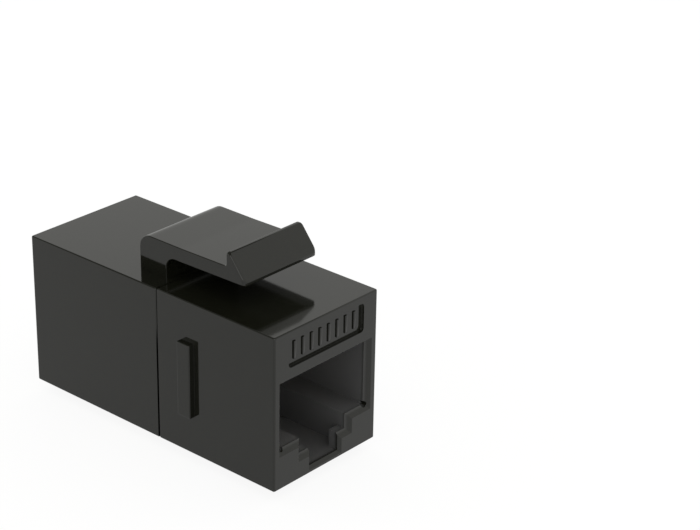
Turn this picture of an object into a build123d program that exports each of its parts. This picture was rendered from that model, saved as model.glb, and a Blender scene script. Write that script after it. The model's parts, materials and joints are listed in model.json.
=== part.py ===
"""Inline keystone coupler: two moulded housings back to back, each with an eight-contact jack.

Millimetres. X is across, +Y runs from the front jack to the rear jack, +Z is up.
The origin is the centre of the underside, between the two jack faces.
"""

import os

from build123d import *

# Jack opening, seen from its mouth
jack_width = 11.9
jack_height = 6.9
floor_height = 4.1
step_width = 6.5
step_depth = 1.6
key_width = 4.1
bottom_wall = 0.65

# Sloped lips round the jack opening
lip_depth = 0.5
lip_width = 0.6
lip_rise = 0.34
key_lip = 0.3
corner_relief_radius = 0.3
corner_relief_depth = 0.9

# Walls of the two housings
side_wall = 1.3
top_wall = 1.3
front_wall = 1.8
shoulder_wall = 1.4
edge_radius = 0.15
corner_radius = 0.2
front_length = 15.5
parting_gap = 0.08
seam_chamfer = 0.08

# Recessed label field above each jack, left bare
label_width = 10.6
label_height = 3.03
label_depth = 0.35
label_top_margin = 0.8
label_corner_radius = 0.4

# Tongue of the rear housing and its snap ridges
tongue_length = 1.5
snap_height = 0.22
snap_width = 0.5
snap_length = 5.0
fit_clearance = 0.05

# Contact spring, a bent strip
contact_count = 8
contact_pitch = 1.016
strip_width = 0.4
strip_thickness = 0.3
tail_length = 0.45
root_distance = 3.3
root_stagger = 1.2
root_drop = 1.1
knee_distance = 7.4
knee_height = 9.15
tip_distance = 12.3
tip_height = 8.4
root_bend_radius = 0.7
knee_bend_radius = 1.5

# Carrier and circuit board
carrier_clearance = 0.1
carrier_plate = 2.1
end_stop_distance = 11.6
end_stop_length = 3.4
slot_width = 0.6
slot_front_room = 0.6
tip_room = 1.3
rest_clearance = 0.06
board_thickness = 1.2
board_hole_radius = 0.4
board_headroom = 0.7
rail_width = 0.6
peg_radius = 0.5
peg_offset = 4.9
peg_distance = 7.5
middle_gap = 3.5

# Panel interface
stop_distance = 10.47
stop_length = 1.7
stop_height = 7.95
stop_proud = 0.67
stop_edge_radius = 0.12
panel_gap = 2.22
lower_catch_height = 1.2
lower_catch_width = 8.0
lower_catch_land = 0.5
lower_catch_ramp = 2.2

# Latch
latch_width = 10.0
latch_gap = 2.35
arm_thickness = 1.45
arm_rise = 0.15
post_length = 3.62
post_setback = 0.83
post_corner_radius = 1.4
window_radius = 1.2
arm_root_length = 2.1
catch_height = 1.5
head_land = 0.35
head_length = 2.42
tip_thickness = 0.35
catch_foot_radius = 0.3
head_edge_radius = 0.12
head_corner_radius = 0.5
head_top_radius = 0.35
latch_edge_chamfer = 0.08
knuckle_clearance = 0.05

# Worked out from the sizes above
board_bottom = floor_height + jack_height + carrier_plate
board_top = board_bottom + board_thickness
ceiling = board_top + board_headroom
body_height = ceiling + top_wall
body_width = jack_width + 2 * side_wall
carrier_start = front_wall + carrier_clearance
carrier_end = end_stop_distance + end_stop_length
body_length = 2 * carrier_end + middle_gap
front_face = -body_length / 2
seam = front_face + front_length
carrier_width = jack_width - 2 * carrier_clearance
slot_end = tip_distance + tip_room
catch_plane = front_face + stop_distance - panel_gap
arm_bottom = body_height + latch_gap
arm_top = arm_bottom + arm_thickness
post_front = seam + post_setback
post_rear = post_front + post_length
pivot_y = post_front - arm_root_length
pivot_z = arm_bottom + arm_thickness / 2
tip_y = catch_plane - head_length
head_radius = min(head_edge_radius, 0.6 * head_land, 0.6 * tip_thickness)
latch_chamfer = min(latch_edge_chamfer, 0.9 * head_radius)


def block(x_size, y_low, y_high, z_low, z_high, x_centre=0.0):
    """A box centred on x_centre, between two Y values and two Z values."""
    centre = ((y_low + y_high) / 2, (z_low + z_high) / 2)
    return Pos(x_centre, *centre) * Box(x_size, y_high - y_low, z_high - z_low)


def slab(outline, width):
    """A side outline, drawn as (y, z), made a solid of the given width about X = 0."""
    return extrude(Plane.YZ * outline, width / 2, both=True)


def turned(shape):
    """The same shape at the rear jack: half a turn about Z."""
    return Rot(0, 0, 180) * shape


def jack_hollow():
    """The space behind the front jack face: its mouth, plug room, latch room and board bay."""
    inner_face = front_face + front_wall
    plug_top = floor_height + jack_height
    step_floor = floor_height - step_depth
    beyond = -inner_face
    mouth = block(jack_width, front_face, inner_face, floor_height, plug_top)
    step = block(step_width, front_face, inner_face, step_floor, floor_height)
    key = block(key_width, front_face, inner_face, bottom_wall, floor_height)
    latch_room = block(
        step_width, front_face + shoulder_wall, beyond, bottom_wall, floor_height
    )
    bay = block(jack_width, inner_face, beyond, floor_height, ceiling)
    return mouth + step + key + latch_room + bay


def funnel(width, z_low, z_high, depth, spread, drop, rise_above):
    """A cut that narrows from the jack face to an opening at the given depth."""
    face = Plane((0, front_face, 0), x_dir=(1, 0, 0), z_dir=(0, -1, 0))
    top = z_high + rise_above
    bottom = z_low - drop
    wide = Pos(0, (top + bottom) / 2) * Rectangle(width + 2 * spread, top - bottom)
    narrow = Pos(0, (z_low + z_high) / 2) * Rectangle(width, z_high - z_low)
    return loft([face.offset(-depth) * narrow, face * wide])


def mouth_lips():
    """The sloped lips of the mouth, its step and its key slot, and its corner reliefs."""
    plug_top = floor_height + jack_height
    step_floor = floor_height - step_depth
    lips = funnel(
        jack_width, floor_height, plug_top, lip_depth, lip_width, lip_width, lip_rise
    )
    lips += funnel(step_width, step_floor, floor_height, lip_depth, lip_width, lip_width, 0)
    lips += funnel(key_width, bottom_wall, step_floor, key_lip, key_lip, key_lip, 0)
    relief = Rot(90, 0, 0) * Cylinder(corner_relief_radius, corner_relief_depth)
    middle = front_face + corner_relief_depth / 2
    for side in (-1, 1):
        lips += Pos(side * jack_width / 2, middle, floor_height) * relief
    return lips


def label_recess():
    """The shallow field above the mouth."""
    top = body_height - label_top_margin
    field = block(
        label_width, front_face, front_face + label_depth, top - label_height, top
    )
    return fillet(field.edges().filter_by(Axis.Y), label_corner_radius)


def board_rails(end):
    """Two rails under the front ceiling, up to the given Y, that hold the board down."""
    low = board_top + fit_clearance
    offset = (jack_width - rail_width) / 2
    start = front_face + front_wall
    return [
        block(rail_width, start, end, low, ceiling, side * offset) for side in (-1, 1)
    ]


def outer_body():
    """The rounded outside of both housings together, before it is parted at the seam."""
    whole = block(body_width, front_face, -front_face, 0, body_height)
    whole = fillet(whole.edges().filter_by(Axis.Z), min(corner_radius, side_wall / 2))
    rims = whole.faces().filter_by(Axis.Z).edges()
    return fillet(rims, min(edge_radius, side_wall / 2))


def outer_half(y_low, y_high):
    """The outside between two Y values, chamfered all round at the seam."""
    half = outer_body() & block(2 * body_width, y_low, y_high, -body_height, 2 * body_height)
    parting_face = half.faces().sort_by_distance((0, seam, body_height / 2))[0]
    return chamfer(parting_face.edges(), seam_chamfer)


def tongue_block(grow, y_low, y_high):
    """The tongue over both sides and the top, before its hollow is cut, grown by a clearance."""
    width = body_width - side_wall - 2 * fit_clearance + 2 * grow
    top = body_height - top_wall / 2 - fit_clearance + grow
    return block(width, y_low, y_high, floor_height, top)


def snap_ridges(grow):
    """One ridge along each side of the tongue, grown by a clearance."""
    middle_y = seam - tongue_length / 2
    middle_z = (floor_height + ceiling) / 2
    half = snap_width / 2 + grow
    flank = (body_width - side_wall) / 2 - fit_clearance
    tip = snap_height + grow
    outline = Polyline((0, -half), (tip, -half / 3), (tip, half / 3), (0, half), close=True)
    length = snap_length + 2 * grow
    ridge = extrude(make_face(outline), length / 2, both=True)
    right = Pos(flank, middle_y, middle_z) * ridge
    return right + mirror(right, Plane.YZ)


def panel_stops():
    """The upright rib on each side that the panel's rear face meets."""
    y_low = front_face + stop_distance
    y_high = y_low + stop_length
    z_low = (body_height - stop_height) / 2
    depth = stop_proud + side_wall / 2
    rib = block(depth, y_low, y_high, z_low, z_low + stop_height)
    rib = fillet(rib.edges(), stop_edge_radius)
    centre = body_width / 2 + stop_proud - depth / 2
    return [Pos(side * centre, 0, 0) * rib for side in (-1, 1)]


def lower_catch():
    """The fixed catch under the front housing, with a ramp towards the front."""
    land = catch_plane - lower_catch_land
    outline = Polyline(
        (catch_plane, bottom_wall / 2),
        (catch_plane, -lower_catch_height),
        (land, -lower_catch_height),
        (land - lower_catch_ramp, 0),
        (land - lower_catch_ramp, bottom_wall / 2),
        close=True,
    )
    return slab(make_face(outline), lower_catch_width)


def soft_sided(shape):
    """The same slab with the edges of its two sides broken."""
    sides = shape.faces().sort_by(Axis.X)
    return chamfer(sides[0].edges() + sides[-1].edges(), latch_chamfer)


def latch_post():
    """The stiff post on the rear housing, with the short root of the arm and its hinge groove."""
    top_corner = (post_rear, arm_top)
    outline = make_face(
        Polyline(
            (post_rear, body_height - top_wall / 2),
            top_corner,
            (pivot_y, arm_top),
            (pivot_y, arm_bottom),
            (post_front, arm_bottom),
            (post_front, body_height - top_wall / 2),
            close=True,
        )
    )
    outline = fillet(near(outline, *top_corner), post_corner_radius)
    outline = fillet(near(outline, post_front, arm_bottom), window_radius)
    groove_radius = arm_thickness / 2 + knuckle_clearance
    groove = Pos(pivot_y, pivot_z) * Circle(groove_radius)
    return soft_sided(slab(outline - groove, latch_width))


def near(sketch, y, z):
    """The one corner of a side outline that lies at (y, z)."""
    return sketch.vertices().sort_by_distance((y, z, 0))[0]


def rise(y):
    """How much higher the arm lies at y than at its root."""
    return arm_rise * (pivot_y - y) / (pivot_y - tip_y)


def latch_arm():
    """The springy arm: a round knuckle at its root, a catch head at its free end."""
    catch_foot = arm_top + rise(catch_plane)
    head_top = catch_foot + catch_height
    tip_bottom = arm_bottom + arm_rise
    outline = make_face(
        Polyline(
            (pivot_y, arm_bottom),
            (pivot_y, arm_top),
            (catch_plane, catch_foot),
            (catch_plane, head_top),
            (catch_plane - head_land, head_top),
            (tip_y, tip_bottom + tip_thickness),
            (tip_y, tip_bottom),
            close=True,
        )
    )
    outline = fillet(near(outline, catch_plane, catch_foot), catch_foot_radius)
    for corner in (
        (catch_plane, head_top),
        (catch_plane - head_land, head_top),
        (tip_y, tip_bottom + tip_thickness),
        (tip_y, tip_bottom),
    ):
        outline = fillet(near(outline, *corner), head_radius)
    knuckle = Pos(pivot_y, pivot_z) * Circle(arm_thickness / 2)
    arm = soft_sided(slab(outline + knuckle, latch_width))
    blank = block(latch_width, tip_y, post_front, arm_bottom, head_top)
    tip_corners = blank.edges().filter_by(Axis.Z).group_by(Axis.Y)[0]
    blank = fillet(tip_corners, head_corner_radius)
    head_sides = blank.faces().sort_by(Axis.Z)[-1].edges().filter_by(Axis.Y)
    return arm & fillet(head_sides, head_top_radius)


def front_housing():
    """Front shell, from the front jack face to the seam."""
    end = seam - parting_gap / 2
    shell = outer_half(2 * front_face, end)
    shell += panel_stops()
    shell += lower_catch()
    shell -= jack_hollow()
    shell -= mouth_lips()
    shell -= label_recess()
    tongue_end = seam - tongue_length - parting_gap
    shell -= tongue_block(fit_clearance, tongue_end, seam)
    shell -= snap_ridges(fit_clearance)
    return shell + board_rails(tongue_end)


def rear_housing():
    """Rear shell, from the seam to the rear jack face, with the tongue and the latch post."""
    start = seam + parting_gap / 2
    shell = outer_half(start, -2 * front_face)
    shell += latch_post()
    shell += tongue_block(0, seam - tongue_length, seam + parting_gap)
    shell += snap_ridges(0)
    shell -= turned(jack_hollow())
    shell -= turned(mouth_lips())
    shell -= turned(label_recess())
    return shell + [turned(rail) for rail in board_rails(-seam)]


def contact_path(row):
    """Centre line of one strip as (distance from the jack face, height)."""
    root = root_distance + row * root_stagger
    points = [
        (root, board_top + tail_length),
        (root, board_bottom - root_drop),
        (knee_distance, knee_height),
        (tip_distance, tip_height),
    ]
    return FilletPolyline(*points, radius=[root_bend_radius, knee_bend_radius])


def contact(index):
    """One contact spring of the front jack, counted from -X."""
    path = Plane.YZ * (Pos(front_face, 0) * contact_path(index % 2))
    section = Plane(path @ 0, x_dir=(1, 0, 0), z_dir=path % 0)
    strip = sweep(section * Rectangle(strip_width, strip_thickness), path=path)
    return Pos(contact_x(index), 0, 0) * strip


def contact_x(index):
    """Where a contact stands across the jack."""
    return (index - (contact_count - 1) / 2) * contact_pitch


def contact_carrier():
    """Comb of the front jack: a slotted plate under the board, the stop that ends the
    plug room, and a foot that closes the latch room.
    """
    plate_bottom = floor_height + jack_height
    comb = block(
        carrier_width,
        front_face + carrier_start,
        front_face + carrier_end,
        plate_bottom,
        board_bottom,
    )
    comb += block(
        carrier_width,
        front_face + end_stop_distance,
        front_face + carrier_end,
        floor_height + fit_clearance,
        board_bottom,
    )
    comb += block(
        step_width - 2 * carrier_clearance,
        front_face + end_stop_distance,
        front_face + carrier_end,
        bottom_wall + fit_clearance,
        floor_height + 2 * fit_clearance,
    )
    rest = tip_height - strip_thickness / 2 - rest_clearance
    slot_start = root_distance - slot_front_room
    for index in range(contact_count):
        comb -= block(
            slot_width,
            front_face + slot_start,
            front_face + slot_end,
            rest,
            board_bottom,
            contact_x(index),
        )
    peg_height = board_thickness
    for side in (-1, 1):
        peg = Cylinder(
            peg_radius, peg_height, align=(Align.CENTER, Align.CENTER, Align.MIN)
        )
        comb += Pos(side * peg_offset, front_face + peg_distance, board_bottom) * peg
    return comb


def circuit_board():
    """The board that joins both jacks, lying over both carriers."""
    half = body_length / 2 - carrier_start
    board = block(carrier_width, -half, half, board_bottom, board_top)
    drill_height = 3 * board_thickness
    middle_z = (board_bottom + board_top) / 2
    wire_drill = Cylinder(board_hole_radius, drill_height)
    peg_drill = Cylinder(peg_radius + fit_clearance, drill_height)
    holes = []
    for index in range(contact_count):
        y = front_face + root_distance + (index % 2) * root_stagger
        holes.append(Pos(contact_x(index), y, middle_z) * wire_drill)
    for side in (-1, 1):
        holes.append(
            Pos(side * peg_offset, front_face + peg_distance, middle_z) * peg_drill
        )
    board -= holes
    board -= [turned(hole) for hole in holes]
    return board


def main():
    os.makedirs("parts", exist_ok=True)
    carrier = contact_carrier()
    nodes = {
        "front_housing": front_housing(),
        "rear_housing": rear_housing(),
        "latch_arm": latch_arm(),
        "circuit_board": circuit_board(),
        "front_contact_carrier": carrier,
        "rear_contact_carrier": turned(carrier),
    }
    for index in range(contact_count):
        spring = contact(index)
        nodes[f"front_contact_{index + 1}"] = spring
        nodes[f"rear_contact_{index + 1}"] = turned(spring)
    for name, shape in nodes.items():
        export_step(shape, f"parts/{name}.step")


main()
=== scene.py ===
"""Looks of the inline keystone coupler: glossy black mouldings, gold springs, pale studio.

Metres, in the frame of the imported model: +Y runs from the front jack to the rear one, +Z is up.
"""

import json
import math

import bmesh
import bpy
from mathutils import Matrix, Vector


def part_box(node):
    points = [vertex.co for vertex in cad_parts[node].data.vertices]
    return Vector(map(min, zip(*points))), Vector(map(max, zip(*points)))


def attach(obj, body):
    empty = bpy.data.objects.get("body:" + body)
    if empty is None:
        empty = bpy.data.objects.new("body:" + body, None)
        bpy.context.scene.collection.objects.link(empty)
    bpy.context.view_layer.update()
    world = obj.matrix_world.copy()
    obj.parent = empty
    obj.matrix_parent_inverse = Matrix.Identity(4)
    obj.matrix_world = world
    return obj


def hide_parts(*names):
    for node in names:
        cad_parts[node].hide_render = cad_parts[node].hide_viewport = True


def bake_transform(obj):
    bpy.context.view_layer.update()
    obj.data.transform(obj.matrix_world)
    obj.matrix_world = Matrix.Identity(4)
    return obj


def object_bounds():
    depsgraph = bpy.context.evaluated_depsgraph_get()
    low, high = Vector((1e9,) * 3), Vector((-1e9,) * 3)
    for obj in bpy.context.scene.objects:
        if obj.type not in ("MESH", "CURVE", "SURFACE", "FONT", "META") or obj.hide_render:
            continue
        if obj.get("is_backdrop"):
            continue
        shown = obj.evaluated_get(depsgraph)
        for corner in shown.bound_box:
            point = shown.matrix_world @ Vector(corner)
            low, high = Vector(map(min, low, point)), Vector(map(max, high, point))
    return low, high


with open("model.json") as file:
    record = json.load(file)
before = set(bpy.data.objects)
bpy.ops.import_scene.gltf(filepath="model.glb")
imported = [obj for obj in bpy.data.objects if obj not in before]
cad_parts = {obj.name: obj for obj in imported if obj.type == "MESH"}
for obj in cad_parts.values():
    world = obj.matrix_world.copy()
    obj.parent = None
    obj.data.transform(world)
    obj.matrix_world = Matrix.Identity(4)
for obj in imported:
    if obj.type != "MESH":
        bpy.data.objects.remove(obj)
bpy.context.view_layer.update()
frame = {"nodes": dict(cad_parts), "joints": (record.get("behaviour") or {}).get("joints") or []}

MM = 0.001

# Camera, as solved from the edges of the body in the photograph
CAMERA_PLACE = Vector((-130.76, -131.79, 102.44)) * MM
CAMERA_AZIMUTH = math.radians(49.324)
CAMERA_ELEVATION = math.radians(24.973)
CAMERA_ROLL = math.radians(1.11)
CAMERA_LENS = 106.86
SENSOR_WIDTH = 36.0
CLIP_START = 0.01
CLIP_END = 10.0

# Mouldings: glossy outside; duller in the jacks, and paler there with painted fill light; painted
# shade, black, in the narrow seam
SHOT_BLACK = (0.0077, 0.008, 0.0052, 1.0)
# Painted fill light: inside the jacks the plastic is coloured paler, to stand in for light
# scattered in them
CORE_PAINTED_FILL_LIGHT = (0.105, 0.105, 0.107, 1.0)
CORE_VALUES = {"Roughness": 0.55}
CORE_MIDDLE = Vector((0.0, 0.0, 6.15)) * MM
CORE_HALF = Vector((6.2, 16.45, 6.05)) * MM
CORE_SOFTNESS = Vector((0.2, 0.5, 0.2)) * MM
# Painted shade: the narrow seam between the shells is coloured black and made metal, so that it
# mirrors nothing
SEAM_PAINTED_SHADE = (0.001, 0.001, 0.001, 1.0)
SEAM_SHADE_VALUES = {"Metallic": 1.0}
SEAM_MIDDLE = Vector((0.0, -1.25, 5.0)) * MM
SEAM_HALF = Vector((8.0, 0.12, 7.3)) * MM
SEAM_SOFTNESS = Vector((0.02, 0.02, 2.0)) * MM
# Black carrier plastic coloured grey: painted fill light deep in the jacks
COMB_BLACK_PAINTED_FILL = (0.28, 0.28, 0.285, 1.0)
MASK_GREEN = (0.012, 0.085, 0.035, 1.0)
GLOSS_FINISH = {"roughness": 0.08, "spread": 0.05, "bump": 0.05, "grain_share": 0.1}
COMB_FINISH = {"roughness": 0.42, "spread": 0.1, "bump": 0.2, "grain_share": 0.5}
BOARD_FINISH = {"roughness": 0.3, "spread": 0.1, "bump": 0.1, "grain_share": 0.3}
PLASTIC_IOR = 1.5
MOTTLE_LIGHTER = 1.35
BUMP_DEPTH = 0.01 * MM
WAVE_SCALE = 900.0
GRAIN_SCALE = 9000.0
RUBBED_SCALE = (700.0, 160.0, 700.0)

# Gold plating on rolled strip
GOLD = (0.86, 0.60, 0.22, 1.0)
GOLD_LIGHT = (0.95, 0.74, 0.36, 1.0)
GOLD_ROUGHNESS_LOW = 0.16
GOLD_ROUGHNESS_HIGH = 0.32
ROLLED_SCALE = (14000.0, 900.0, 900.0)
ROLLED_BUMP = 0.2
ROLLED_DEPTH = 0.004 * MM

# Broken edges
EDGE_ROUND = 0.08 * MM
EDGE_SEGMENTS = 2
WELD_REACH = 0.0005 * MM
SHARP_ANGLE = math.radians(32)
FLAT_ANGLE = math.radians(0.3)
FLAT_FACE_WEIGHT = 100

# Latch, drawn in one with its post
LATCH_SKIN = 0.015 * MM
ARM_ROOT = 2.1 * MM
ARM_RISE = 0.15 * MM
POST_LENGTH = 3.62 * MM
POST_CORNER = 1.4 * MM
POST_FOOT = 0.6 * MM
ARM_ROOT_CORNER = 1.2 * MM
CATCH_FOOT = 0.3 * MM
HEAD_LAND = 0.35 * MM
HEAD_LENGTH = 2.42 * MM
TIP_THICKNESS = 0.35 * MM
HEAD_CORNER = 0.14 * MM
TIP_CORNER = 0.12 * MM
TIP_ROUND = 0.5 * MM
HEAD_TOP_ROUND = 0.35 * MM
ROUND_STEPS = 6
CUT_REACH = 0.001 * MM
ARC_STEP = math.radians(11)
LEAST_ARC_PARTS = 3
LEAST_CORNER = 0.01 * MM
LATCH_RIM = 0.12 * MM
RIM_STEPS = 3
LATCH_STEP = 0.4 * MM

# Raised ticks in the label fields, one for each contact
TICK_COUNT = 8
TICK_PITCH = 1.2 * MM
TICK_SIZE = Vector((0.36, 0.17, 1.9)) * MM
TICK_ROUND = 0.07 * MM
TICK_SEGMENTS = 2
LABEL_DEPTH = 0.35 * MM
LABEL_MIDDLE_BELOW_TOP = 2.31 * MM

# Studio: mirrors see the ground and the overhead sky darker, and one bright window in the sky
FLOOR_SIZE = 3.0
FLOOR_WHITE = (0.9, 0.9, 0.9, 1.0)
SKY_TINT = (1.0, 1.0, 0.97, 1.0)
SKY_LEVEL = 0.8
FLOOR_SEEN = 1.06
FLOOR_MIRRORED_FRONT = 0.8
FLOOR_MIRRORED_REAR = 0.6
FLOOR_FRONT_END = -19.0 * MM
FLOOR_REAR_START = -15.0 * MM
OVERHEAD = Vector((-0.25, 0.0, 1.0))
OVERHEAD_MIRRORED = 0.2
OVERHEAD_START = 0.5
OVERHEAD_END = 0.58
WINDOW_WAY = Vector((-0.7, -0.48, 0.47))
WINDOW_MIRRORED = 2.5
WINDOW_START = 0.87
WINDOW_END = 0.94
FLOOR_GLOW_SHARE = 0.85


def new_material(name):
    """A material with only its output node, and the tree to build in."""
    material = bpy.data.materials.new(name)
    material.use_nodes = True
    tree = material.node_tree
    tree.nodes.clear()
    output = tree.nodes.new("ShaderNodeOutputMaterial")
    return material, tree, output


def node(tree, kind, **settings):
    """A new node with its settings; a key that names an input sets that input."""
    made = tree.nodes.new(kind)
    for key, value in settings.items():
        if hasattr(made, key):
            setattr(made, key, value)
        else:
            made.inputs[key.replace("_", " ")].default_value = value
    return made


def add_sockets(tree, way, kind, names):
    """Gives a node group inputs or outputs of one kind, and returns their identifiers by name."""
    identifiers = {}
    for name in names:
        socket = tree.interface.new_socket(name=name, in_out=way, socket_type=kind)
        identifiers[name] = socket.identifier
    return identifiers


def moulded_surface_group():
    """Shared finish of moulded plastic: soft waves, fine grain and faint rubbing marks."""
    group = bpy.data.node_groups.new("Moulded surface", "ShaderNodeTree")
    settings = ("Grain share", "Base roughness", "Roughness spread")
    add_sockets(group, "INPUT", "NodeSocketFloat", settings)
    add_sockets(group, "OUTPUT", "NodeSocketFloat", ("Roughness", "Height", "Mottle"))
    given = group.nodes.new("NodeGroupInput")
    result = group.nodes.new("NodeGroupOutput")
    place = group.nodes.new("ShaderNodeTexCoord")
    wave = node(group, "ShaderNodeTexNoise", Scale=WAVE_SCALE, Detail=2.0, Roughness=0.45)
    grain = node(group, "ShaderNodeTexNoise", Scale=GRAIN_SCALE, Detail=3.0, Roughness=0.6)
    rubbed = node(group, "ShaderNodeTexNoise", Scale=1.0, Detail=4.0, Roughness=0.7)
    stretch = node(group, "ShaderNodeMapping", Scale=RUBBED_SCALE)
    link = group.links.new
    link(place.outputs["Object"], wave.inputs["Vector"])
    link(place.outputs["Object"], grain.inputs["Vector"])
    link(place.outputs["Object"], stretch.inputs["Vector"])
    link(stretch.outputs["Vector"], rubbed.inputs["Vector"])

    grain_part = node(group, "ShaderNodeMath", operation="MULTIPLY")
    link(grain.outputs["Fac"], grain_part.inputs[0])
    link(given.outputs["Grain share"], grain_part.inputs[1])
    height = node(group, "ShaderNodeMath", operation="ADD")
    link(wave.outputs["Fac"], height.inputs[0])
    link(grain_part.outputs[0], height.inputs[1])
    link(height.outputs[0], result.inputs["Height"])

    centred = node(group, "ShaderNodeMath", operation="SUBTRACT")
    link(rubbed.outputs["Fac"], centred.inputs[0])
    centred.inputs[1].default_value = 0.5
    spread = node(group, "ShaderNodeMath", operation="MULTIPLY_ADD")
    link(centred.outputs[0], spread.inputs[0])
    link(given.outputs["Roughness spread"], spread.inputs[1])
    link(given.outputs["Base roughness"], spread.inputs[2])
    link(spread.outputs[0], result.inputs["Roughness"])
    link(wave.outputs["Fac"], result.inputs["Mottle"])
    return group


def box_mask_group():
    """Mask of a box with soft sides, in the model's own places."""
    group = bpy.data.node_groups.new("Box mask", "ShaderNodeTree")
    add_sockets(group, "INPUT", "NodeSocketVector", ("Middle", "Half", "Softness"))
    add_sockets(group, "OUTPUT", "NodeSocketFloat", ("Mask",))
    given = group.nodes.new("NodeGroupInput")
    result = group.nodes.new("NodeGroupOutput")
    place = group.nodes.new("ShaderNodeTexCoord")
    away = node(group, "ShaderNodeVectorMath", operation="SUBTRACT")
    reach = node(group, "ShaderNodeVectorMath", operation="ABSOLUTE")
    room = node(group, "ShaderNodeVectorMath", operation="SUBTRACT")
    share = node(group, "ShaderNodeVectorMath", operation="DIVIDE")
    parts = group.nodes.new("ShaderNodeSeparateXYZ")
    link = group.links.new
    link(place.outputs["Object"], away.inputs[0])
    link(given.outputs["Middle"], away.inputs[1])
    link(away.outputs["Vector"], reach.inputs[0])
    link(given.outputs["Half"], room.inputs[0])
    link(reach.outputs["Vector"], room.inputs[1])
    link(room.outputs["Vector"], share.inputs[0])
    link(given.outputs["Softness"], share.inputs[1])
    link(share.outputs["Vector"], parts.inputs["Vector"])
    least = node(group, "ShaderNodeMath", operation="MINIMUM")
    link(parts.outputs["X"], least.inputs[0])
    link(parts.outputs["Y"], least.inputs[1])
    inside = node(group, "ShaderNodeMath", operation="MINIMUM", use_clamp=True)
    link(least.outputs[0], inside.inputs[0])
    link(parts.outputs["Z"], inside.inputs[1])
    link(inside.outputs[0], result.inputs["Mask"])
    return group


def change_inside(material, group, middle, half, softness, colour, values):
    """Gives a moulded material another colour and other values inside a box."""
    tree = material.node_tree
    shader = next(made for made in tree.nodes if made.type == "BSDF_PRINCIPLED")
    mask = node(tree, "ShaderNodeGroup", node_tree=group)
    mask.inputs["Middle"].default_value = middle
    mask.inputs["Half"].default_value = half
    mask.inputs["Softness"].default_value = softness
    tone = node(tree, "ShaderNodeMix", data_type="RGBA")
    tone.inputs["B"].default_value = colour
    link = tree.links.new
    link(shader.inputs["Base Color"].links[0].from_socket, tone.inputs["A"])
    link(mask.outputs["Mask"], tone.inputs["Factor"])
    link(tone.outputs["Result"], shader.inputs["Base Color"])
    for name, value in values.items():
        changed = node(tree, "ShaderNodeMix", data_type="FLOAT")
        changed.inputs["A"].default_value = shader.inputs[name].default_value
        changed.inputs["B"].default_value = value
        if shader.inputs[name].is_linked:
            link(shader.inputs[name].links[0].from_socket, changed.inputs["A"])
        link(mask.outputs["Mask"], changed.inputs["Factor"])
        link(changed.outputs["Result"], shader.inputs[name])


def plastic(name, colour, group, roughness, spread, bump, grain_share):
    """Moulded plastic: colour with a faint mottle, uneven gloss, and a soft bump."""
    material, tree, output = new_material(name)
    shader = node(tree, "ShaderNodeBsdfPrincipled", IOR=PLASTIC_IOR)
    surface = node(tree, "ShaderNodeGroup", node_tree=group)
    surface.inputs["Base roughness"].default_value = roughness
    surface.inputs["Roughness spread"].default_value = spread
    surface.inputs["Grain share"].default_value = grain_share
    tone = node(tree, "ShaderNodeMix", data_type="RGBA")
    lighter = tuple(MOTTLE_LIGHTER * part for part in colour[:3]) + (1.0,)
    tone.inputs["A"].default_value = colour
    tone.inputs["B"].default_value = lighter
    raised = node(tree, "ShaderNodeBump", Strength=bump, Distance=BUMP_DEPTH)
    link = tree.links.new
    link(surface.outputs["Mottle"], tone.inputs["Factor"])
    link(tone.outputs["Result"], shader.inputs["Base Color"])
    link(surface.outputs["Roughness"], shader.inputs["Roughness"])
    link(surface.outputs["Height"], raised.inputs["Height"])
    link(raised.outputs["Normal"], shader.inputs["Normal"])
    link(shader.outputs["BSDF"], output.inputs["Surface"])
    return material


def gold_strip():
    """Gold plating with fine lines along the rolled strip."""
    material, tree, output = new_material("gold_plated_strip")
    shader = node(tree, "ShaderNodeBsdfPrincipled", Metallic=1.0)
    place = tree.nodes.new("ShaderNodeTexCoord")
    stretch = node(tree, "ShaderNodeMapping", Scale=ROLLED_SCALE)
    lines = node(tree, "ShaderNodeTexNoise", Scale=1.0, Detail=3.0)
    tone = node(tree, "ShaderNodeMix", data_type="RGBA")
    tone.inputs["A"].default_value = GOLD
    tone.inputs["B"].default_value = GOLD_LIGHT
    rough = node(tree, "ShaderNodeMapRange")
    rough.inputs["To Min"].default_value = GOLD_ROUGHNESS_LOW
    rough.inputs["To Max"].default_value = GOLD_ROUGHNESS_HIGH
    raised = node(tree, "ShaderNodeBump", Strength=ROLLED_BUMP, Distance=ROLLED_DEPTH)
    link = tree.links.new
    link(place.outputs["Object"], stretch.inputs["Vector"])
    link(stretch.outputs["Vector"], lines.inputs["Vector"])
    link(lines.outputs["Fac"], tone.inputs["Factor"])
    link(lines.outputs["Fac"], rough.inputs["Value"])
    link(lines.outputs["Fac"], raised.inputs["Height"])
    link(tone.outputs["Result"], shader.inputs["Base Color"])
    link(rough.outputs["Result"], shader.inputs["Roughness"])
    link(raised.outputs["Normal"], shader.inputs["Normal"])
    link(shader.outputs["BSDF"], output.inputs["Surface"])
    return material


def link_object(name, data):
    """A new object at the origin with this mesh or camera."""
    made = bpy.data.objects.new(name, data)
    bpy.context.scene.collection.objects.link(made)
    return made


def settle_mesh(piece):
    """Applies a piece's modifiers, so that its mesh is final."""
    graph = bpy.context.evaluated_depsgraph_get()
    final = bpy.data.meshes.new_from_object(piece.evaluated_get(graph))
    piece.modifiers.clear()
    piece.data = final
    return piece


def even_shading(piece):
    """Lets the large flat faces of a piece set the shading of the small ones beside them."""
    even = piece.modifiers.new("even shading", "WEIGHTED_NORMAL")
    even.weight = FLAT_FACE_WEIGHT
    even.keep_sharp = True


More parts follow.
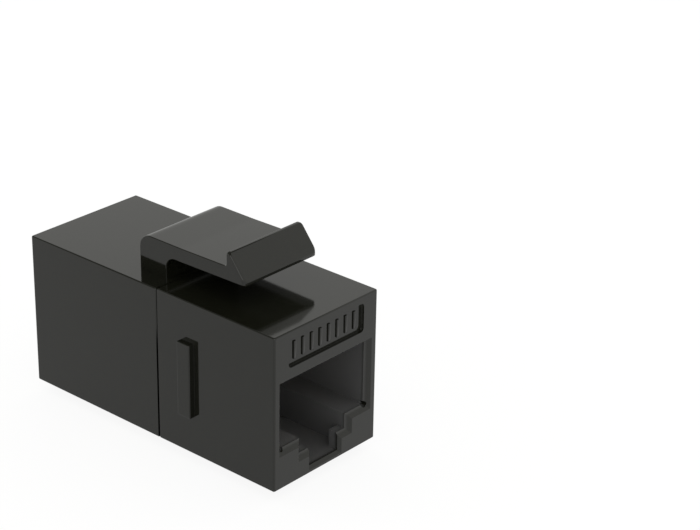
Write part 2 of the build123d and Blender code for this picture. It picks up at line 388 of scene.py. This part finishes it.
def break_edges(cad_node, width):
    """Joins the facets of a CAD node and takes the sharpness off its edges."""
    join = cad_node.modifiers.new("join facets", "WELD")
    join.merge_threshold = WELD_REACH
    flat = cad_node.modifiers.new("whole flat faces", "DECIMATE")
    flat.decimate_type = "DISSOLVE"
    flat.angle_limit = FLAT_ANGLE
    round_off = cad_node.modifiers.new("broken edges", "BEVEL")
    round_off.width = width
    round_off.segments = EDGE_SEGMENTS
    round_off.limit_method = "ANGLE"
    round_off.angle_limit = SHARP_ANGLE
    round_off.use_clamp_overlap = True
    even_shading(cad_node)
    for face in cad_node.data.polygons:
        face.use_smooth = True


def shade(piece):
    """Smooth shading, with edges sharper than a moulding's facets kept sharp."""
    for face in piece.data.polygons:
        face.use_smooth = True
    piece.data.set_sharp_from_angle(angle=SHARP_ANGLE)


def drawn_in(corners, inset):
    """The same closed outline with its sides moved inwards; its round corners follow."""
    moved = []
    count = len(corners)
    for index in range(count):
        here = Vector(corners[index][:2])
        radius = corners[index][2]
        arriving = (here - Vector(corners[index - 1][:2])).normalized()
        leaving = (Vector(corners[(index + 1) % count][:2]) - here).normalized()
        first = Vector((-arriving.y, arriving.x))
        second = Vector((-leaving.y, leaving.x))
        place = here + (first + second) * (inset / (1 + first.dot(second)))
        if radius > 0:
            outward = arriving.cross(leaving) < 0
            radius = max(radius + (inset if outward else -inset), LEAST_CORNER)
        moved.append((place.x, place.y, radius))
    return moved


def rounded_outline(corners):
    """Points of a closed side outline. Each corner is (y, z, radius)."""
    points = []
    count = len(corners)
    for index in range(count):
        here = Vector(corners[index][:2])
        radius = corners[index][2]
        if radius <= 0:
            points.append(here)
            continue
        before = Vector(corners[index - 1][:2])
        after = Vector(corners[(index + 1) % count][:2])
        back = (before - here).normalized()
        ahead = (after - here).normalized()
        half = back.angle(ahead) / 2
        reach = radius / math.tan(half)
        start = here + back * reach
        end = here + ahead * reach
        centre = here + (back + ahead).normalized() * (radius / math.sin(half))
        first = start - centre
        turn = first.angle_signed(end - centre)
        parts = max(LEAST_ARC_PARTS, round(abs(turn) / ARC_STEP))
        for part in range(parts + 1):
            swing = Matrix.Rotation(-turn * part / parts, 2)
            points.append(centre + swing @ first)
    return points


def cut_runs(points, counts):
    """The same closed outline with each stretch cut into its count of equal parts."""
    fine = []
    for here, after, count in zip(points, points[1:] + points[:1], counts):
        fine += [here.lerp(after, part / count) for part in range(count)]
    return fine


def latch_joint():
    """The record's row for the joint at the arm's root."""
    return next(row for row in frame["joints"] if row["name"] == "latch_press")


def latch_corners():
    """Side outline of the post, arm and head, from the frame's own boxes."""
    arm_low, arm_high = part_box("latch_arm")
    body_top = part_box("front_housing")[1].z
    pivot = Vector(latch_joint()["pos_m"])
    arm_top = 2 * pivot.z - arm_low.z
    post_front = pivot.y + ARM_ROOT
    post_rear = post_front + POST_LENGTH
    catch = arm_low.y + HEAD_LENGTH
    catch_rise = ARM_RISE * (pivot.y - catch) / (pivot.y - arm_low.y)
    tip_bottom = arm_low.z + ARM_RISE
    skin = LATCH_SKIN
    foot = body_top - POST_FOOT
    return [
        (post_rear + skin, foot, 0),
        (post_rear + skin, arm_top + skin, POST_CORNER),
        (pivot.y, arm_top + skin, 0),
        (catch + skin, arm_top + catch_rise + skin, CATCH_FOOT),
        (catch + skin, arm_high.z, HEAD_CORNER),
        (catch - HEAD_LAND, arm_high.z, HEAD_CORNER),
        (arm_low.y, tip_bottom + TIP_THICKNESS, TIP_CORNER),
        (arm_low.y, tip_bottom - skin, TIP_CORNER),
        (pivot.y, arm_low.z - skin, 0),
        (post_front - skin, arm_low.z - skin, ARM_ROOT_CORNER),
        (post_front - skin, foot, 0),
    ]


def latch_rings(half_width):
    """Outlines across the latch as (x, points), drawn in towards both sides to round its rims."""
    corners = latch_corners()
    plain = rounded_outline(corners)
    runs = zip(plain, plain[1:] + plain[:1])
    counts = [max(1, round((after - here).length / LATCH_STEP)) for here, after in runs]
    right = []
    for part in range(RIM_STEPS + 1):
        turn = math.pi / 2 * part / RIM_STEPS
        inset = LATCH_RIM * (1 - math.cos(turn))
        x = half_width - LATCH_RIM * (1 - math.sin(turn))
        points = cut_runs(rounded_outline(drawn_in(corners, inset)), counts)
        right.append((x, points))
    left = [(-x, points) for x, points in reversed(right)]
    return left + right


def round_sides(shape, axis, end, radius, half_width):
    """Draws the sides in along a quarter circle where the shape nears its end along an axis.

    The end is a place on the Y or Z axis; a negative radius rounds an end that looks backwards.
    """
    reach = abs(radius)
    step = math.copysign(1.0, radius)
    along = Vector((0, 1, 0)) if axis == 1 else Vector((0, 0, 1))
    for part in range(1, ROUND_STEPS + 1):
        depth = reach * (1 - math.cos(math.pi / 2 * part / ROUND_STEPS))
        whole = shape.verts[:] + shape.edges[:] + shape.faces[:]
        bmesh.ops.bisect_plane(
            shape,
            geom=whole,
            dist=CUT_REACH,
            plane_co=along * (end - step * depth),
            plane_no=along,
        )
    for corner in shape.verts:
        depth = step * (end - corner.co[axis])
        if depth < reach:
            away = reach - max(depth, 0.0)
            inset = reach - math.sqrt(reach * reach - away * away)
            corner.co.x *= 1 - inset / half_width


def latch_moulding(material):
    """Post, arm and catch head in one, as they are moulded, drawn about the pivot of the latch
    joint.
    """
    arm_low, arm_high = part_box("latch_arm")
    half_width = (arm_high.x - arm_low.x) / 2 + LATCH_SKIN
    shape = bmesh.new()
    rings = [
        [shape.verts.new((x, y, z)) for y, z in points] for x, points in latch_rings(half_width)
    ]
    shape.faces.new(rings[0])
    shape.faces.new(rings[-1])
    for near, far in zip(rings, rings[1:]):
        for index in range(len(near)):
            before = index - 1
            shape.faces.new((near[before], near[index], far[index], far[before]))
    round_sides(shape, 1, arm_low.y, -TIP_ROUND, half_width)
    round_sides(shape, 2, arm_high.z, HEAD_TOP_ROUND, half_width)
    bmesh.ops.recalc_face_normals(shape, faces=shape.faces)
    mesh = bpy.data.meshes.new("latch_moulding")
    shape.to_mesh(mesh)
    shape.free()
    mesh.materials.append(material)
    piece = link_object("latch_moulding", mesh)
    shade(piece)
    even_shading(piece)
    settle_mesh(piece)
    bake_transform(piece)
    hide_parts("latch_arm")
    return piece


def rounded_tick():
    """One small raised bar with broken edges."""
    mesh = bpy.data.meshes.new("tick")
    shape = bmesh.new()
    bmesh.ops.create_cube(shape, size=1.0)
    bmesh.ops.scale(shape, vec=TICK_SIZE, verts=shape.verts)
    bmesh.ops.bevel(
        shape,
        geom=shape.edges[:],
        offset=TICK_ROUND,
        segments=TICK_SEGMENTS,
        profile=0.5,
        affect="EDGES",
    )
    shape.to_mesh(mesh)
    shape.free()
    return mesh


def tick_row_tree(tick, material):
    """Geometry nodes that repeat one tick along X, and the identifiers of their inputs."""
    tree = bpy.data.node_groups.new("Tick row", "GeometryNodeTree")
    add_sockets(tree, "OUTPUT", "NodeSocketGeometry", ("Geometry",))
    sockets = add_sockets(tree, "INPUT", "NodeSocketInt", ("Count",))
    sockets |= add_sockets(tree, "INPUT", "NodeSocketFloat", ("Pitch",))
    sockets |= add_sockets(tree, "INPUT", "NodeSocketVector", ("Middle",))
    given = tree.nodes.new("NodeGroupInput")
    result = tree.nodes.new("NodeGroupOutput")
    line = node(tree, "GeometryNodeMeshLine", mode="OFFSET")
    step = tree.nodes.new("ShaderNodeCombineXYZ")
    last = node(tree, "ShaderNodeMath", operation="SUBTRACT")
    last.inputs[1].default_value = 1.0
    half_run = node(tree, "ShaderNodeMath", operation="MULTIPLY")
    half_scale = node(tree, "ShaderNodeMath", operation="MULTIPLY")
    half_scale.inputs[1].default_value = -0.5
    back = tree.nodes.new("ShaderNodeCombineXYZ")
    start_at = node(tree, "ShaderNodeVectorMath", operation="ADD")
    shape = tree.nodes.new("GeometryNodeObjectInfo")
    shape.inputs["Object"].default_value = tick
    spread = tree.nodes.new("GeometryNodeInstanceOnPoints")
    real = tree.nodes.new("GeometryNodeRealizeInstances")
    finish = tree.nodes.new("GeometryNodeSetMaterial")
    finish.inputs["Material"].default_value = material
    link = tree.links.new
    link(given.outputs["Count"], line.inputs["Count"])
    link(given.outputs["Pitch"], step.inputs["X"])
    link(step.outputs[0], line.inputs["Offset"])
    link(given.outputs["Count"], last.inputs[0])
    link(last.outputs[0], half_run.inputs[0])
    link(given.outputs["Pitch"], half_run.inputs[1])
    link(half_run.outputs[0], half_scale.inputs[0])
    link(half_scale.outputs[0], back.inputs["X"])
    link(given.outputs["Middle"], start_at.inputs[0])
    link(back.outputs[0], start_at.inputs[1])
    link(start_at.outputs["Vector"], line.inputs["Start Location"])
    link(line.outputs["Mesh"], spread.inputs["Points"])
    link(shape.outputs["Geometry"], spread.inputs["Instance"])
    link(spread.outputs["Instances"], real.inputs["Geometry"])
    link(real.outputs["Geometry"], finish.inputs["Geometry"])
    link(finish.outputs["Geometry"], result.inputs["Geometry"])
    return tree, sockets


def label_ticks(material):
    """Eight raised ticks in each label field, standing on its floor."""
    pattern = link_object("tick_pattern", rounded_tick())
    tree, sockets = tick_row_tree(pattern, material)
    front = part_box("front_housing")
    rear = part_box("rear_housing")
    height = front[1].z - LABEL_MIDDLE_BELOW_TOP
    stand = LABEL_DEPTH - TICK_SIZE.y / 2 + TICK_ROUND / 2
    places = {
        "front_label_ticks": front[0].y + stand,
        "rear_label_ticks": rear[1].y - stand,
    }
    for name, y in places.items():
        piece = link_object(name, bpy.data.meshes.new(name))
        row = piece.modifiers.new("row", "NODES")
        row.node_group = tree
        row[sockets["Count"]] = TICK_COUNT
        row[sockets["Pitch"]] = TICK_PITCH
        row[sockets["Middle"]] = (0.0, y, height)
        settle_mesh(piece)
        shade(piece)
        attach(piece, "coupler")
    bpy.data.objects.remove(pattern)


def dress_nodes(gloss, comb_painted_fill, board, gold):
    """Every sub-part gets its finish, and the mouldings get broken edges."""
    finishes = {
        "front_housing": gloss,
        "rear_housing": gloss,
        "latch_arm": gloss,
        "front_contact_carrier": comb_painted_fill,
        "rear_contact_carrier": comb_painted_fill,
        "circuit_board": board,
    }
    for name, cad_node in frame["nodes"].items():
        cad_node.data.materials.clear()
        cad_node.data.materials.append(finishes.get(name, gold))
    for name in ("front_housing", "rear_housing"):
        break_edges(frame["nodes"][name], EDGE_ROUND)
    for name in ("front_contact_carrier", "rear_contact_carrier"):
        break_edges(frame["nodes"][name], EDGE_ROUND / 2)


def floor_material():
    """Plain ground: seen as white, mirrored darker, and dim where the object shades it."""
    material, tree, output = new_material("studio_floor")
    ground = node(tree, "ShaderNodeBsdfDiffuse", Color=FLOOR_WHITE)
    glow = node(tree, "ShaderNodeEmission", Color=(1.0, 1.0, 1.0, 1.0))
    mix = tree.nodes.new("ShaderNodeMixShader")
    rays = tree.nodes.new("ShaderNodeLightPath")
    seen = node(tree, "ShaderNodeMath", operation="MAXIMUM")
    share = node(tree, "ShaderNodeMath", operation="MULTIPLY")
    share.inputs[1].default_value = FLOOR_GLOW_SHARE
    place = tree.nodes.new("ShaderNodeTexCoord")
    sides = tree.nodes.new("ShaderNodeSeparateXYZ")
    mirrored = node(tree, "ShaderNodeMapRange", interpolation_type="SMOOTHSTEP")
    mirrored.inputs["From Min"].default_value = FLOOR_FRONT_END
    mirrored.inputs["From Max"].default_value = FLOOR_REAR_START
    mirrored.inputs["To Min"].default_value = FLOOR_MIRRORED_FRONT
    mirrored.inputs["To Max"].default_value = FLOOR_MIRRORED_REAR
    level = node(tree, "ShaderNodeMapRange")
    level.inputs["To Min"].default_value = FLOOR_SEEN
    link = tree.links.new
    link(place.outputs["Object"], sides.inputs["Vector"])
    link(sides.outputs["Y"], mirrored.inputs["Value"])
    link(mirrored.outputs["Result"], level.inputs["To Max"])
    link(rays.outputs["Is Camera Ray"], seen.inputs[0])
    link(rays.outputs["Is Glossy Ray"], seen.inputs[1])
    link(seen.outputs[0], share.inputs[0])
    link(rays.outputs["Is Glossy Ray"], level.inputs["Value"])
    link(level.outputs["Result"], glow.inputs["Strength"])
    link(share.outputs[0], mix.inputs["Fac"])
    link(ground.outputs["BSDF"], mix.inputs[1])
    link(glow.outputs["Emission"], mix.inputs[2])
    link(mix.outputs["Shader"], output.inputs["Surface"])
    return material


def sky_patch(tree, place, way, start, end):
    """Eased range over how far a direction of the sky leans towards the given way."""
    lean = node(tree, "ShaderNodeVectorMath", operation="DOT_PRODUCT")
    lean.inputs[1].default_value = way
    patch = node(tree, "ShaderNodeMapRange", interpolation_type="SMOOTHSTEP")
    patch.inputs["From Min"].default_value = start
    patch.inputs["From Max"].default_value = end
    tree.links.new(place.outputs["Generated"], lean.inputs[0])
    tree.links.new(lean.outputs["Value"], patch.inputs["Value"])
    return patch


def floor():
    """The ground under the lowest point of the part."""
    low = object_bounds()[0].z
    mesh = bpy.data.meshes.new("floor")
    half = FLOOR_SIZE / 2
    corners = [(-half, -half, low), (half, -half, low), (half, half, low), (-half, half, low)]
    mesh.from_pydata(corners, [], [(0, 1, 2, 3)])
    mesh.materials.append(floor_material())
    ground = link_object("floor", mesh)
    ground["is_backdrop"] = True


def sky():
    """Even light from all round, white where the camera sees it."""
    world = bpy.data.worlds.new("studio")
    bpy.context.scene.world = world
    world.use_nodes = True
    tree = world.node_tree
    tree.nodes.clear()
    output = tree.nodes.new("ShaderNodeOutputWorld")
    light = node(tree, "ShaderNodeBackground", Color=SKY_TINT)
    seen = node(tree, "ShaderNodeBackground", Color=(1.0, 1.0, 1.0, 1.0), Strength=1.0)
    mix = tree.nodes.new("ShaderNodeMixShader")
    rays = tree.nodes.new("ShaderNodeLightPath")
    place = tree.nodes.new("ShaderNodeTexCoord")
    overhead = sky_patch(tree, place, OVERHEAD, OVERHEAD_START, OVERHEAD_END)
    overhead.inputs["To Min"].default_value = SKY_LEVEL
    overhead.inputs["To Max"].default_value = OVERHEAD_MIRRORED
    window = sky_patch(tree, place, WINDOW_WAY, WINDOW_START, WINDOW_END)
    window.inputs["To Max"].default_value = WINDOW_MIRRORED
    level = node(tree, "ShaderNodeMapRange")
    level.inputs["To Min"].default_value = SKY_LEVEL
    link = tree.links.new
    link(overhead.outputs["Result"], window.inputs["To Min"])
    link(rays.outputs["Is Glossy Ray"], level.inputs["Value"])
    link(window.outputs["Result"], level.inputs["To Max"])
    link(level.outputs["Result"], light.inputs["Strength"])
    link(rays.outputs["Is Camera Ray"], mix.inputs["Fac"])
    link(light.outputs["Background"], mix.inputs[1])
    link(seen.outputs["Background"], mix.inputs[2])
    link(mix.outputs["Shader"], output.inputs["Surface"])


def camera():
    """The photograph's view."""
    data = bpy.data.cameras.new("view")
    data.lens = CAMERA_LENS
    data.sensor_width = SENSOR_WIDTH
    data.clip_start = CLIP_START
    data.clip_end = CLIP_END
    holder = link_object("view", data)
    level = math.cos(CAMERA_ELEVATION)
    ahead = Vector(
        (
            math.sin(CAMERA_AZIMUTH) * level,
            math.cos(CAMERA_AZIMUTH) * level,
            -math.sin(CAMERA_ELEVATION),
        )
    )
    flat_right = ahead.cross(Vector((0, 0, 1))).normalized()
    flat_up = flat_right.cross(ahead)
    right = flat_right * math.cos(CAMERA_ROLL) + flat_up * math.sin(CAMERA_ROLL)
    up = flat_up * math.cos(CAMERA_ROLL) - flat_right * math.sin(CAMERA_ROLL)
    turn = Matrix((right, up, -ahead)).transposed()
    holder.matrix_world = Matrix.Translation(CAMERA_PLACE) @ turn.to_4x4()
    bpy.context.scene.camera = holder


def main():
    surface = moulded_surface_group()
    gloss = plastic("gloss_black_shot", SHOT_BLACK, surface, **GLOSS_FINISH)
    mask = box_mask_group()
    # Painted fill light inside the jacks
    core_fill_light = (CORE_MIDDLE, CORE_HALF, CORE_SOFTNESS, CORE_PAINTED_FILL_LIGHT)
    change_inside(gloss, mask, *core_fill_light, CORE_VALUES)
    # Painted shade in the seam between the shells
    seam_shade = (SEAM_MIDDLE, SEAM_HALF, SEAM_SOFTNESS, SEAM_PAINTED_SHADE)
    change_inside(gloss, mask, *seam_shade, SEAM_SHADE_VALUES)
    # Black comb plastic made grey, as painted fill light deep in the jacks
    comb_painted_fill = plastic("comb_black_painted_fill", COMB_BLACK_PAINTED_FILL, surface, **COMB_FINISH)
    board = plastic("board_mask", MASK_GREEN, surface, **BOARD_FINISH)
    gold = gold_strip()
    dress_nodes(gloss, comb_painted_fill, board, gold)
    latch_moulding(gloss)
    label_ticks(gloss)
    floor()
    sky()
    camera()
    bpy.context.scene.view_settings.view_transform = "Standard"


main()
